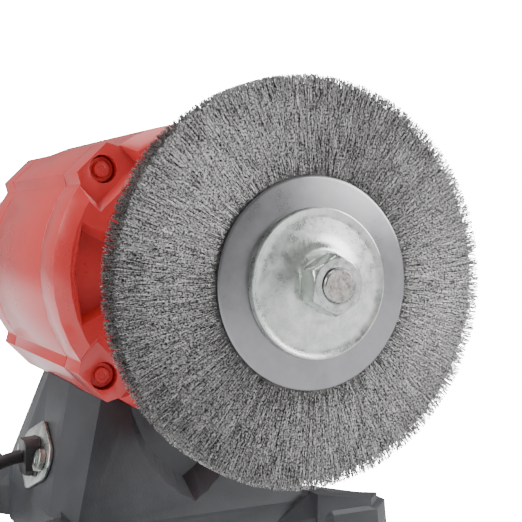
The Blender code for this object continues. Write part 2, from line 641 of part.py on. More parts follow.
def add_shield(side, place):
    skirt = BARREL_RADIUS - SHIELD_SKIRT_WALL
    band_x, band_r = SHIELD_FRONT - SHIELD_BAND, BARREL_RADIUS - SHIELD_SLOPE
    seat = BEARING_RADIUS + GAP
    profile = [(SHIELD_BACK, BARREL_RADIUS), (band_x, BARREL_RADIUS), (SHIELD_FRONT, band_r),
               (SHIELD_FRONT, SHIELD_HUB_RADIUS + 0.002), (HUB_X, SHIELD_HUB_RADIUS), (HUB_X, SHIELD_LIP_HOLE),
               (LIP_X, SHIELD_LIP_HOLE), (LIP_X, seat), (SHIELD_INSIDE, seat), (SHIELD_INSIDE, skirt),
               (SHIELD_BACK, skirt)]
    shield = add_part(f"end_shield_{side}", moved(turned(profile, BARREL_SEGMENTS), place), "red_paint")
    half, flat_half = BOSS_HALF_WIDTH, BOSS_HALF_WIDTH - BOSS_CUT
    section = [(SCREW_CIRCLE - 0.007, -half), (BARREL_RADIUS - 0.0015, -half), (BOSS_FLAT, -flat_half),
               (BOSS_FLAT, flat_half), (BARREL_RADIUS - 0.0015, half), (SCREW_CIRCLE - 0.007, half)]
    boss = loft([[(x, r, t) for r, t in section] for x in (SHIELD_BACK + 0.0005, PAD_X + 0.0002)])
    combine(shield, moved(merged([spun(boss, a) for a in BOSS_ANGLES]), place), "UNION")
    clear = SHIELD_FRONT + 0.003
    pad = [[(x, r, t) for r, t in ((SCREW_CIRCLE - 0.008 - grow, -BOSS_HALF_WIDTH - grow),
                                   (BOSS_FLAT + 0.01, -BOSS_HALF_WIDTH - grow),
                                   (BOSS_FLAT + 0.01, BOSS_HALF_WIDTH + grow),
                                   (SCREW_CIRCLE - 0.008 - grow, BOSS_HALF_WIDTH + grow))]
           for x, grow in ((PAD_X, 0.0006), (clear, 0.0046))]
    combine(shield, moved(merged([spun(loft(pad), a) for a in BOSS_ANGLES]), place))
    pocket = []
    for x, draft in ((SHIELD_FRONT - POCKET_DEPTH, POCKET_DRAFT), (SHIELD_FRONT + 0.001, -0.0003)):
        outer, inner = band_r - 0.001 - draft, SHIELD_HUB_RADIUS + 0.004 + draft
        wide, narrow = POCKET_HALF_OUTER - draft, POCKET_HALF_INNER - draft
        corner = math.sqrt(outer**2 - wide**2)
        pocket.append([(x, corner, -wide), (x, outer, 0), (x, corner, wide), (x, inner, narrow), (x, inner, -narrow)])
    combine(shield, moved(merged([spun(loft(pocket), a - math.pi / 4) for a in BOSS_ANGLES]), place))
    bores = [at_axis(a, SCREW_CIRCLE, rod(SCREW_SEAT, clear, COUNTERBORE_RADIUS, 16)) for a in BOSS_ANGLES]
    combine(shield, moved(merged(bores), place))
    holes = [at_axis(a, SCREW_CIRCLE, rod(SHIELD_BACK - 0.002, SCREW_SEAT + 0.002, SCREW_RADIUS + SCREW_ROOM))
             for a in BOSS_ANGLES]
    combine(shield, moved(merged(holes), place))
    for number, angle in enumerate(BOSS_ANGLES, 1):
        turn = Matrix.Translation((SCREW_SEAT + GAP, 0, 0)) @ Matrix.Rotation(math.pi, 4, "Z")
        screw = moved(screw_shape(SCREW_RADIUS, SCREW_HEAD_RADIUS, SCREW_HEAD_HEIGHT,
                                  SCREW_SEAT - BARREL_HALF + SCREW_BITE), turn)
        add_part(f"shield_screw_{side}_{number}", moved(at_axis(angle, SCREW_CIRCLE, screw), place), "red_paint")


def spun(shape, angle):
    return moved(shape, Matrix.Rotation(angle, 4, "X"))


def bearing_middle(side):
    room = WASHER_ROOM if side == "right" else 0
    return LIP_X - GAP - room - BEARING_WIDTH / 2


def add_bearing_seat(side, place):
    """The bearing's outer ring, and on the right end the wave washer that loads it."""
    x = bearing_middle(side)
    half, groove = BEARING_WIDTH / 2, BALL_RADIUS
    land = BALL_CIRCLE + RACE_LAND
    outer = turned([(x - half, land), (x - half, BEARING_RADIUS), (x + half, BEARING_RADIUS), (x + half, land),
                    (x + groove, land), (x + groove / 2, land + RACE_DEPTH), (x - groove / 2, land + RACE_DEPTH),
                    (x - groove, land)], BEARING_SEGMENTS)
    add_part(f"bearing_outer_ring_{side}", moved(outer, place), "steel")
    if side == "left":
        return
    low = LIP_X - GAP - WASHER_ROOM + GAP
    waves = [[(low + WASHER_ROOM / 4 * (1 + math.cos(3 * a)) + t, r * math.cos(a), r * math.sin(a))
              for a in [2 * math.pi * i / 24 for i in range(24)]]
             for r, t in ((BEARING_RADIUS - 0.003, 0), (BEARING_RADIUS - 0.0004, 0),
                          (BEARING_RADIUS - 0.0004, WASHER_THICKNESS), (BEARING_RADIUS - 0.003, WASHER_THICKNESS))]
    faces = [[k * 24 + i, k * 24 + (i + 1) % 24, (k + 1) % 4 * 24 + (i + 1) % 24, (k + 1) % 4 * 24 + i]
             for k in range(4) for i in range(24)]
    add_part("wave_washer", moved(([Vector(p) for loop in waves for p in loop], faces), place), "steel")


# Spindle: everything here turns about the X axis at the shaft's height.
def add_spindle():
    spindle = add_frame("spindle_axis", Matrix.Translation((0, 0, SHAFT_HEIGHT)))
    step = [bearing_middle(side) - BEARING_WIDTH / 2 - GAP for side in ("left", "right")]
    end, cut = SPINDLE_HALF_LENGTH, SHAFT_CHAMFER
    right = [(CORE_SHAFT_RADIUS, step[1]), (JOURNAL_RADIUS, step[1]), (JOURNAL_RADIUS, SHOULDER_X),
             (THREAD_RADIUS, SHOULDER_X), (THREAD_RADIUS, end - cut), (THREAD_RADIUS - cut, end), (0, end)]
    left = [(r, step[0] if x == step[1] else x) for r, x in right]
    profile = [(-x, r) for r, x in left[::-1]] + [(x, r) for r, x in right]
    add_part("shaft", turned(profile, 20), "steel", spindle)

    half = STATOR_LENGTH / 2
    radius = STATOR_BORE - AIR_GAP
    outline = slotted_circle(radius, radius - ROTOR_SLOT_DEPTH, ROTOR_SLOTS, ROTOR_SLOT_WIDTH)
    bore = same_angles(outline, CORE_SHAFT_RADIUS + GAP)
    add_part("rotor_core", ring_loft(outline, bore, -half, half), "lamination", spindle)
    low, high = half + GAP, half + GAP + CAGE_RING
    rings = [turned([(s * low, CAGE_RING_INNER), (s * low, radius - 0.001), (s * high, radius - 0.002),
                     (s * high, CAGE_RING_INNER)], 24) for s in (1, -1)]
    cage = add_part("rotor_cage", rings[0], "aluminium", spindle)
    combine(cage, rings[1], "UNION")
    combine(cage, slot_bars(radius - ROTOR_SLOT_DEPTH + GAP, radius - 0.0014, ROTOR_SLOT_WIDTH - 2 * GAP,
                            ROTOR_SLOTS, half + 0.003), "UNION")

    for side in ("left", "right"):
        add_bearing_inside(side, spindle)
    bore = THREAD_RADIUS + GAP
    spacers = {"left": BRUSH_SPACER, "right": WHEEL_SPACER}
    widths = {"left": BRUSH_WIDTH, "right": WHEEL_WIDTH}
    for side, spacer in spacers.items():
        place = for_side(side)
        low, high = SHOULDER_X + GAP, SHOULDER_X + spacer - GAP
        inner = turned([(low, bore), (low, 0.014), (high - FLANGE_RIM, FLANGE_RADIUS), (high, FLANGE_RADIUS),
                        (high, bore)])
        add_part(f"inner_flange_{side}", moved(inner, place), "zinc", spindle)
        seat = SHOULDER_X + spacer + widths[side] + GAP
        rim = seat + FLANGE_RIM
        boss = rim + FLANGE_BOSS_RISE
        outer = turned([(seat, bore), (seat, FLANGE_RADIUS), (rim - 0.0004, FLANGE_RADIUS),
                        (rim, FLANGE_RADIUS - 0.0006), (rim, FLANGE_RADIUS - 0.002),
                        (rim + 0.0006, FLANGE_BOSS_RADIUS + 0.002), (boss, FLANGE_BOSS_RADIUS), (boss, bore)])
        add_part(f"outer_flange_{side}", moved(outer, place), "zinc", spindle)
        add_nut(side, boss + GAP, place, spindle)
    add_brush(spindle, bore)
    low = SHOULDER_X + WHEEL_SPACER
    add_part("grinding_wheel", ring(low, low + WHEEL_WIDTH, WHEEL_BUSH_RADIUS + GAP, WHEEL_RADIUS, WHEEL_SEGMENTS),
             "abrasive", spindle)
    add_part("wheel_bush", ring(low, low + WHEEL_WIDTH, bore, WHEEL_BUSH_RADIUS), "white_plastic", spindle)


def add_nut(side, low, place, spindle):
    reach = NUT_ACROSS_FLATS / 2 / math.cos(math.pi / 6)
    corners = [math.pi / 6 + math.pi / 3 * k for k in range(6)]
    hexagon = [[(x, r * math.cos(a), r * math.sin(a)) for a in corners]
               for x, r in ((low, reach * 0.94), (low + 0.001, reach), (low + NUT_HEIGHT - 0.001, reach),
                            (low + NUT_HEIGHT, reach * 0.94))]
    nut = add_part(f"nut_{side}", moved(loft(hexagon), place), "zinc", spindle)
    combine(nut, moved(rod(low - 0.002, low + NUT_HEIGHT + 0.002, THREAD_RADIUS + GAP, 24), place))


def add_brush(spindle, bore):
    place = for_side("left")
    low = SHOULDER_X + BRUSH_SPACER
    high = low + BRUSH_WIDTH
    for name, x0, x1 in (("inner", low, low + BRUSH_PLATE), ("outer", high - BRUSH_PLATE, high)):
        plate = ring(x0, x1, bore, BRUSH_PLATE_RADIUS, WHEEL_SEGMENTS)
        add_part(f"brush_plate_{name}", moved(plate, place), "plate_steel", spindle)
    inside, outside = low + BRUSH_PLATE + GAP, high - BRUSH_PLATE - GAP
    add_part("brush_core", moved(ring(inside, outside, bore, BRUSH_CORE_RADIUS), place), "steel", spindle)
    tip = (BRUSH_WIDTH - BRUSH_TIP_WIDTH) / 2
    wires = turned([(inside, BRUSH_CORE_RADIUS + GAP), (inside, BRUSH_PLATE_RADIUS + 0.001),
                    (low + tip, BRUSH_PLATE_RADIUS + 0.006), (low + tip, BRUSH_RADIUS),
                    (high - tip, BRUSH_RADIUS), (high - tip, BRUSH_PLATE_RADIUS + 0.006),
                    (outside, BRUSH_PLATE_RADIUS + 0.001), (outside, BRUSH_CORE_RADIUS + GAP)], WHEEL_SEGMENTS)
    add_part("brush_wires", moved(wires, place), "wire", spindle)


def add_bearing_inside(side, spindle):
    """A bearing's inner ring, and its cage with the balls, which has an axis of its own."""
    place = for_side(side)
    x = bearing_middle(side)
    half, groove = BEARING_WIDTH / 2, BALL_RADIUS
    land = BALL_CIRCLE - RACE_LAND
    bore = JOURNAL_RADIUS + GAP
    inner = turned([(x - half, bore), (x - half, land), (x - groove, land), (x - groove / 2, land - RACE_DEPTH),
                    (x + groove / 2, land - RACE_DEPTH), (x + groove, land), (x + half, land), (x + half, bore)], BEARING_SEGMENTS)
    add_part(f"bearing_inner_ring_{side}", moved(inner, place), "steel", spindle)
    cage_frame = add_frame(f"cage_axis_{side}", Matrix.Translation((0, 0, SHAFT_HEIGHT)))
    cage = ring(x - 0.0034, x + 0.0034, BALL_CIRCLE - 0.0009, BALL_CIRCLE + 0.0009, BEARING_SEGMENTS)
    cage = add_part(f"bearing_cage_{side}", moved(cage, place), "brass", cage_frame)
    circle = [(-BALL_RADIUS * math.cos(math.pi * k / 4), BALL_RADIUS * math.sin(math.pi * k / 4)) for k in range(5)]
    circle[0], circle[-1] = (-BALL_RADIUS, 0), (BALL_RADIUS, 0)
    ball = moved(turned(circle, 6), Matrix.Translation((x, 0, 0)))
    balls = [at_axis(2 * math.pi * k / BEARING_BALLS, BALL_CIRCLE, ball) for k in range(BEARING_BALLS)]
    combine(cage, moved(merged(balls), place), "UNION")


# Electrics
def add_switch():
    place = facet_place(SWITCH_Z, True)
    u, v, lip = SWITCH_HALF_U, SWITCH_HALF_V, SWITCH_LIP
    bezel = block((-u - lip, -v - lip, GAP), (u + lip, v + lip, GAP + SWITCH_BEZEL))
    housing = add_part("switch_housing", moved(bezel, place), "black_plastic")
    combine(housing, moved(block((-u, -v, -SWITCH_DEPTH), (u, v, GAP + SWITCH_BEZEL / 2)), place), "UNION")
    well_u, well_v = u - SWITCH_WALL, v - SWITCH_WALL
    combine(housing, moved(block((-well_u, -well_v, -SWITCH_WELL), (well_u, well_v, 0.006)), place))
    pivot = place @ Matrix.Translation((0, 0, -ROCKER_PIVOT_DEPTH)) @ Matrix.Rotation(-ROCKER_TILT, 4, "X")
    rocker_axis = add_frame("rocker_axis", pivot)
    reach, width = well_v - 0.001, well_u - 0.0005
    side = [(-reach, -0.004), (reach, -0.004), (reach, 0.0052), (0, 0.0034), (-reach, 0.0052)]
    rocker = loft([[(x, y, z) for y, z in side] for x in (-width, width)])
    add_part("switch_rocker", rocker, "rocker_red", rocker_axis)


def add_capacitor():
    z = COVER_HIGH + GAP + CLAMP_THICKNESS + CAPACITOR_LIFT + CAPACITOR_RADIUS
    half = CAPACITOR_LENGTH / 2
    can = turned([(-half, 0), (-half, CAPACITOR_RADIUS - 0.001), (-half + 0.001, CAPACITOR_RADIUS),
                  (half, CAPACITOR_RADIUS), (half, CAPACITOR_RADIUS - 0.0015), (half - 0.002, CAPACITOR_RADIUS - 0.002),
                  (half - 0.002, 0)], 16)
    add_part("capacitor", moved(can, Matrix.Translation((0, CAPACITOR_Y, z))), "white_plastic")
    inner, outer = CAPACITOR_RADIUS + GAP, CAPACITOR_RADIUS + GAP + CLAMP_THICKNESS
    low, foot = COVER_HIGH + GAP, COVER_HIGH + GAP + CLAMP_THICKNESS
    arc = [math.pi * k / 14 for k in range(15)]
    side = [(outer + CLAMP_FOOT, low), (outer + CLAMP_FOOT, foot), (outer, foot)]
    side += [(outer * math.cos(a), z + outer * math.sin(a)) for a in arc]
    side += [(-outer, foot), (-outer - CLAMP_FOOT, foot), (-outer - CLAMP_FOOT, low), (-inner, low)]
    side += [(inner * math.cos(a), z + inner * math.sin(a)) for a in arc[::-1]]
    side.append((inner, low))
    clamp = loft([[(x, y + CAPACITOR_Y, h) for y, h in side] for x in (-CLAMP_WIDTH / 2, CLAMP_WIDTH / 2)])
    add_part("capacitor_clamp", clamp, "zinc")
    x, y, h = TERMINAL_SIZE
    low = COVER_HIGH + GAP
    side = [(-y / 2, low), (y / 2, low), (y / 2, low + h * 0.6), (y / 4, low + h * 0.6), (y / 4, low + h),
            (-y / 4, low + h), (-y / 4, low + h * 0.6), (-y / 2, low + h * 0.6)]
    block_shape = loft([[(s * x / 2, TERMINAL_Y + b, c) for b, c in side] for s in (-1, 1)])
    add_part("terminal_block", block_shape, "white_plastic")


def add_cord_entry():
    back = facet_place(PLATE_Z, False)
    plate = loft([[(x, y, z) for x, y in plate_outline()] for z in (GAP, GAP + PLATE_THICKNESS)])
    plate = add_part("cord_plate", moved(plate, back), "zinc")
    upwards = Matrix.Rotation(math.radians(-90), 4, "Y")
    spots = [back @ Matrix.Translation((s * PLATE_SCREW_OFFSET, 0, 0)) for s in (1, -1)]
    holes = [moved(rod(-0.004, 0.006, PLATE_SCREW_RADIUS + SCREW_ROOM), spot @ upwards) for spot in spots]
    combine(plate, merged(holes + [gland_hole()]))
    inwards = Matrix.Translation((0, 0, 2 * GAP + PLATE_THICKNESS)) @ Matrix.Rotation(math.radians(90), 4, "Y")
    for spot, side in zip(spots, ("left", "right")):
        screw = screw_shape(PLATE_SCREW_RADIUS, PLATE_SCREW_HEAD, PLATE_SCREW_HEAD_HEIGHT, 0.008)
        add_part(f"cord_plate_screw_{side}", moved(screw, spot @ inwards), "zinc")
    slope = math.tan(FACET_TILT)
    plate_front = back.translation.y + (2 * GAP + PLATE_THICKNESS) / math.cos(FACET_TILT)
    outline = gland_outline(GLAND_HALF_WIDTH, GLAND_HALF_HEIGHT, 0.003)
    head = [[(x, plate_front - z * slope, PLATE_Z + z) for x, z in outline],
            [(x * 0.94, gland_end(), PLATE_Z + z * 0.94) for x, z in outline]]
    gland = add_part("cord_gland", loft(head), "black_plastic")
    turn = Matrix.Rotation(math.radians(90), 4, "Z")
    neck = rod(back.translation.y - GLAND_NECK, gland_end() - 0.001, GLAND_NECK_RADIUS, 16)
    combine(gland, moved(neck, Matrix.Translation((0, 0, PLATE_Z)) @ turn), "UNION")


def gland_end():
    back = facet_place(PLATE_Z, False)
    plate_front = back.translation.y + (2 * GAP + PLATE_THICKNESS) / math.cos(FACET_TILT)
    return plate_front + GLAND_LENGTH


def plate_outline():
    """A flange with a round end at each side and a blunt point at the top and bottom."""
    centre = PLATE_HALF_LENGTH - PLATE_END_RADIUS
    across, height = PLATE_POINT_HALF - centre, PLATE_HALF_HEIGHT
    lean = math.atan2(height, across) - math.acos(PLATE_END_RADIUS / math.hypot(across, height))
    steps = 4
    arc = [lean * (k + 0.5) / (steps + 0.5) for k in range(steps + 1)]
    quarter = [(centre + PLATE_END_RADIUS * math.cos(a), PLATE_END_RADIUS * math.sin(a)) for a in arc]
    quarter += [(PLATE_POINT_HALF, height - PLATE_POINT_HALF / 4), (PLATE_POINT_HALF / 3, height)]
    return four_quarters(quarter)


def add_cord_and_plug():
    add_cord("power_cord", CORD_ROUTE)
    add_cord("cord_tail", TAIL_ROUTE)
    coil = ring(0.0001, COIL_HEIGHT, COIL_INNER, COIL_OUTER, WHEEL_SEGMENTS)
    add_part("cord_coil", upright(coil, *COIL_CENTRE), "rubber")
    back = Matrix.Translation(PLUG_START) @ Matrix.Rotation(math.pi, 4, "Z")
    r, length = PLUG_RADIUS, PLUG_LENGTH
    body = turned([(0, 0), (0, 0.005), (length * 0.3, 0.0065), (length * 0.45, r * 0.85), (length * 0.65, r),
                   (length - 0.001, r), (length, r - 0.001), (length, 0)], 20)
    body = add_part("plug_body", moved(body, back), "black_plastic")
    pins = []
    for s, name in ((1, "plug_pin_1"), (-1, "plug_pin_2")):
        offset = back @ Matrix.Translation((0, s * PLUG_PIN_OFFSET, 0))
        low, high = length - PLUG_PIN_ROOT, length + PLUG_PIN_LENGTH
        pin = turned([(low + GAP, 0), (low + GAP, PLUG_PIN_RADIUS), (high - 0.001, PLUG_PIN_RADIUS),
                      (high, PLUG_PIN_RADIUS - 0.001), (high, 0)], 12)
        add_part(name, moved(pin, offset), "brass")
        pins.append(moved(rod(low, length + 0.002, PLUG_PIN_RADIUS + GAP), offset))
    combine(body, merged(pins))


def main():
    for old in list(bpy.data.objects):
        bpy.data.objects.remove(old)
    add_base()
    add_motor()
    add_spindle()
    add_switch()
    add_capacitor()
    add_cord_entry()
    add_cord_and_plug()


main()
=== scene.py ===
import json
import math
import random

import bmesh
import bpy
from mathutils import Matrix, Vector


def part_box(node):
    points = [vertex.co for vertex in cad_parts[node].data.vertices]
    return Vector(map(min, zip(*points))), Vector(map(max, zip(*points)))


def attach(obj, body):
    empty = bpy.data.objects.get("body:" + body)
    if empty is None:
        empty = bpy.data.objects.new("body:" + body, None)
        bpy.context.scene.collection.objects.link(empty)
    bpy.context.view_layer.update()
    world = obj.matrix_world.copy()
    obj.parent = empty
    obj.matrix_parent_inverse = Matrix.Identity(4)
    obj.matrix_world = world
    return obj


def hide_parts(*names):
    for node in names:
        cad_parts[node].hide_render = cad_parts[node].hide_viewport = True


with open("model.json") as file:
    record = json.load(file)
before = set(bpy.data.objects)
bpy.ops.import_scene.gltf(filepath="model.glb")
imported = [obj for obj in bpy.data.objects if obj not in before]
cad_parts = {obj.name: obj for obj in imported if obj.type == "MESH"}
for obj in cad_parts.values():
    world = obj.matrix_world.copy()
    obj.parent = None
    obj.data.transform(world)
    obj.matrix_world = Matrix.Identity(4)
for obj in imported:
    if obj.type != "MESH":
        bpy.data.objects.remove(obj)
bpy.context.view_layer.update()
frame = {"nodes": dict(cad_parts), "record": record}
nodes = frame["nodes"]

shaftLow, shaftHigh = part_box("shaft")
axisZ = (shaftLow.z + shaftHigh.z) / 2
print("frame loaded, spindle at", round(axisZ, 4))


# everyday helpers
def deselectAll():
    if bpy.context.mode != "OBJECT":
        bpy.ops.object.mode_set(mode="OBJECT")
    bpy.ops.object.select_all(action="DESELECT")


def makeActive(piece):
    deselectAll()
    piece.select_set(True)
    bpy.context.view_layer.objects.active = piece


def applyAll(piece):
    makeActive(piece)
    for modifier in list(piece.modifiers):
        bpy.ops.object.modifier_apply(modifier=modifier.name)


def cleanUp(piece, angle=30):
    makeActive(piece)
    bpy.ops.object.mode_set(mode="EDIT")
    bpy.ops.mesh.select_all(action="SELECT")
    bpy.ops.mesh.remove_doubles(threshold=1e-6)
    bpy.ops.mesh.normals_make_consistent(inside=False)
    bpy.ops.object.mode_set(mode="OBJECT")
    bpy.ops.object.shade_smooth_by_angle(angle=math.radians(angle))


def raiseLoops(name, loops, capped=True):
    # a circle is extruded from loop to loop, and each new loop is put in its place
    deselectAll()
    fill = "NGON" if capped else "NOTHING"
    bpy.ops.mesh.primitive_circle_add(vertices=len(loops[0]), radius=1, fill_type=fill)
    piece = bpy.context.object
    piece.name = piece.data.name = name
    for vertex, place in zip(piece.data.vertices, loops[0]):
        vertex.co = place
    bpy.ops.object.mode_set(mode="EDIT")
    bpy.ops.mesh.select_all(action="SELECT")
    for before, after in zip(loops, loops[1:]):
        bpy.ops.mesh.extrude_region_move()
        work = bmesh.from_edit_mesh(piece.data)
        taken = {tuple(round(c * 1e7) for c in v.co): v for v in work.verts if v.select}
        for old, new in zip(before, after):
            spot = taken[tuple(round(c * 1e7) for c in Vector(old))]
            spot.co = new
        bmesh.update_edit_mesh(piece.data)
    bpy.ops.object.mode_set(mode="OBJECT")
    cleanUp(piece)
    return piece


def circleLoop(x, radius, count, centre=(0, 0)):
    step = 2 * math.pi / count
    return [(x, centre[0] + radius * math.cos(i * step), axisZ + centre[1] + radius * math.sin(i * step))
            for i in range(count)]


def turn(name, profile, count=96, solid=False):
    # profile is (x, radius) along the spindle; a ring closes on itself
    loops = [circleLoop(x, r, count) for x, r in profile]
    if solid:
        return raiseLoops(name, loops, capped=True)
    return raiseLoops(name, loops + loops[:1], capped=False)


def soften(piece, width, segments=2, angle=28):
    # rounded edges, with the flats beside them kept flat in the shading
    makeActive(piece)
    bpy.ops.object.shade_smooth()
    bevel = piece.modifiers.new("edge", "BEVEL")
    bevel.width = width
    bevel.segments = segments
    bevel.limit_method = "ANGLE"
    bevel.angle_limit = math.radians(angle)
    bevel.harden_normals = True
    applyAll(piece)


def finePiece(node, width, segments=2, angle=28, dissolve=0.5):
    # a merged copy of a CAD node with its edges rounded
    piece = nodes[node].copy()
    piece.data = nodes[node].data.copy()
    piece.name = piece.data.name = node + "_fine"
    piece.parent = None
    bpy.context.scene.collection.objects.link(piece)
    makeActive(piece)
    bpy.ops.object.mode_set(mode="EDIT")
    bpy.ops.mesh.select_all(action="SELECT")
    bpy.ops.mesh.remove_doubles(threshold=2e-6)
    bpy.ops.mesh.dissolve_limited(angle_limit=math.radians(dissolve))
    bpy.ops.object.mode_set(mode="OBJECT")
    soften(piece, width, segments, angle)
    return piece


def fit(piece, body, material, slot, *replaced):
    piece.data.materials.clear()
    piece.data.materials.append(material)
    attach(piece, body)
    if replaced:
        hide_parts(*replaced)


# camera, floor and lights
view = {"place": (-0.48082, 0.17951, 0.15818), "along": (0.8900, -0.4547, -0.0346),
        "up": (0.0323, -0.0127, 0.9994), "lens": 68.97, "sensor": 36}


def addCamera():
    data = bpy.data.cameras.new("camera")
    data.lens, data.sensor_width = view["lens"], view["sensor"]
    data.clip_start = 0.01
    camera = bpy.data.objects.new("camera", data)
    bpy.context.scene.collection.objects.link(camera)
    back = -Vector(view["along"]).normalized()
    right = Vector(view["up"]).cross(back).normalized()
    up = back.cross(right)
    place = Matrix((right, up, back)).transposed().to_4x4()
    place.translation = view["place"]
    camera.matrix_world = place
    bpy.context.scene.camera = camera


studio = {"floor": (0.90, 0.90, 0.92), "world": 0.34, "seenWorld": 30, "floorGlow": 30,
          "lamps": [("top", (0.1, 0.15, 1.4), 1.0, 15), ("rear", (0.1, 1.5, 0.8), 0.9, 24),
                    ("front", (-0.5, -1.3, 0.8), 0.8, 14), ("hub", (-1.2, -1.1, 0.70), 0.7, 13)]}


def addStudio():
    deselectAll()
    bpy.ops.mesh.primitive_grid_add(x_subdivisions=2, y_subdivisions=2, size=14, location=(0, 0, 0))
    floor = bpy.context.object
    floor.name = "floor"
    paint = bpy.data.materials.new("floorPaint")
    paint.use_nodes = True
    tree = paint.node_tree
    shader = tree.nodes["Principled BSDF"]
    shader.inputs["Base Color"].default_value = (*studio["floor"], 1)
    shader.inputs["Roughness"].default_value = 0.8
    shader.inputs["Emission Color"].default_value = (1, 1, 1, 1)
    seen = tree.nodes.new("ShaderNodeLightPath")
    glow = tree.nodes.new("ShaderNodeMath")
    glow.operation = "MULTIPLY"
    glow.inputs[1].default_value = studio["floorGlow"]
    tree.links.new(seen.outputs["Is Camera Ray"], glow.inputs[0])
    tree.links.new(glow.outputs["Value"], shader.inputs["Emission Strength"])
    floor.data.materials.append(paint)
    world = bpy.context.scene.world or bpy.data.worlds.new("world")
    bpy.context.scene.world = world
    world.use_nodes = True
    tree = world.node_tree
    background = tree.nodes["Background"]
    background.inputs["Color"].default_value = (1, 1, 1, 1)
    seen = tree.nodes.new("ShaderNodeLightPath")
    strength = tree.nodes.new("ShaderNodeMapRange")
    strength.inputs["To Min"].default_value = studio["world"]
    strength.inputs["To Max"].default_value = studio["seenWorld"]
    tree.links.new(seen.outputs["Is Camera Ray"], strength.inputs["Value"])
    tree.links.new(strength.outputs["Result"], background.inputs["Strength"])
    for name, place, size, power in studio["lamps"]:
        data = bpy.data.lights.new(name, "AREA")
        data.size, data.energy = size, power
        lamp = bpy.data.objects.new(name, data)
        bpy.context.scene.collection.objects.link(lamp)
        lamp.location = place
        aim = Vector((-0.05, 0, axisZ * 0.8)) - Vector(place)
        lamp.rotation_mode = "QUATERNION"
        lamp.rotation_quaternion = aim.to_track_quat("-Z", "Y")


addCamera()
addStudio()
print("camera, floor and lights placed")


# materials
def newGroup(name, inputs, outputs):
    group = bpy.data.node_groups.new(name, "ShaderNodeTree")
    for label, value in inputs:
        socket = group.interface.new_socket(name=label, in_out="INPUT", socket_type="NodeSocketFloat")
        socket.default_value = value
    for label, kind in outputs:
        group.interface.new_socket(name=label, in_out="OUTPUT", socket_type=kind)
    return group, group.nodes.new("NodeGroupInput"), group.nodes.new("NodeGroupOutput")


def makeGrainGroup():
    # fine surface grain: a bump normal and a soft mask of cloudy patches
    group, start, end = newGroup("surfaceGrain", [("Scale", 900), ("Depth", 0.05), ("Patch Scale", 40)],
                                 [("Normal", "NodeSocketVector"), ("Patches", "NodeSocketFloat")])
    new, link = group.nodes.new, group.links.new
    where = new("ShaderNodeTexCoord")
    grain = new("ShaderNodeTexNoise")
    grain.inputs["Detail"].default_value = 4
    patches = new("ShaderNodeTexNoise")
    patches.inputs["Detail"].default_value = 5
    patches.inputs["Roughness"].default_value = 0.65
    bump = new("ShaderNodeBump")
    bump.inputs["Distance"].default_value = 0.0005
    link(where.outputs["Object"], grain.inputs["Vector"])
    link(where.outputs["Object"], patches.inputs["Vector"])
    link(start.outputs["Scale"], grain.inputs["Scale"])
    link(start.outputs["Patch Scale"], patches.inputs["Scale"])
    link(grain.outputs["Fac"], bump.inputs["Height"])
    link(start.outputs["Depth"], bump.inputs["Strength"])
    link(bump.outputs["Normal"], end.inputs["Normal"])
    link(patches.outputs["Fac"], end.inputs["Patches"])
    return group


grainGroup = makeGrainGroup()


def makeScratchGroup():
    # fine lines round the spindle axis, as a lathe leaves them
    group, start, end = newGroup("turningMarks", [("Spacing", 900), ("Depth", 0.1)],
                                 [("Normal", "NodeSocketVector"), ("Marks", "NodeSocketFloat")])
    new, link = group.nodes.new, group.links.new
    where = new("ShaderNodeTexCoord")
    split = new("ShaderNodeSeparateXYZ")
    link(where.outputs["Object"], split.inputs["Vector"])
    lift = new("ShaderNodeMath")
    lift.operation = "SUBTRACT"
    lift.inputs[1].default_value = axisZ
    link(split.outputs["Z"], lift.inputs[0])
    flat = new("ShaderNodeCombineXYZ")
    link(split.outputs["Y"], flat.inputs["X"])
    link(lift.outputs["Value"], flat.inputs["Y"])
    reach = new("ShaderNodeVectorMath")
    reach.operation = "LENGTH"
    link(flat.outputs["Vector"], reach.inputs[0])
    along = new("ShaderNodeCombineXYZ")
    link(reach.outputs["Value"], along.inputs["X"])
    link(split.outputs["X"], along.inputs["Y"])
    rings = new("ShaderNodeTexNoise")
    rings.inputs["Detail"].default_value = 3
    link(along.outputs["Vector"], rings.inputs["Vector"])
    link(start.outputs["Spacing"], rings.inputs["Scale"])
    bump = new("ShaderNodeBump")
    bump.inputs["Distance"].default_value = 0.0003
    link(rings.outputs["Fac"], bump.inputs["Height"])
    link(start.outputs["Depth"], bump.inputs["Strength"])
    link(bump.outputs["Normal"], end.inputs["Normal"])
    link(rings.outputs["Fac"], end.inputs["Marks"])
    return group


turningGroup = makeScratchGroup()


# settings for the painted light and shade on the wires: tuft streaks are painted shade between tufts, the
# speckle is painted light and shade along single wires
strandLightLook = {"along": 110, "speckle": 1500, "tuftShare": 0.55, "speckleShare": 1.0, "base": 0.28}


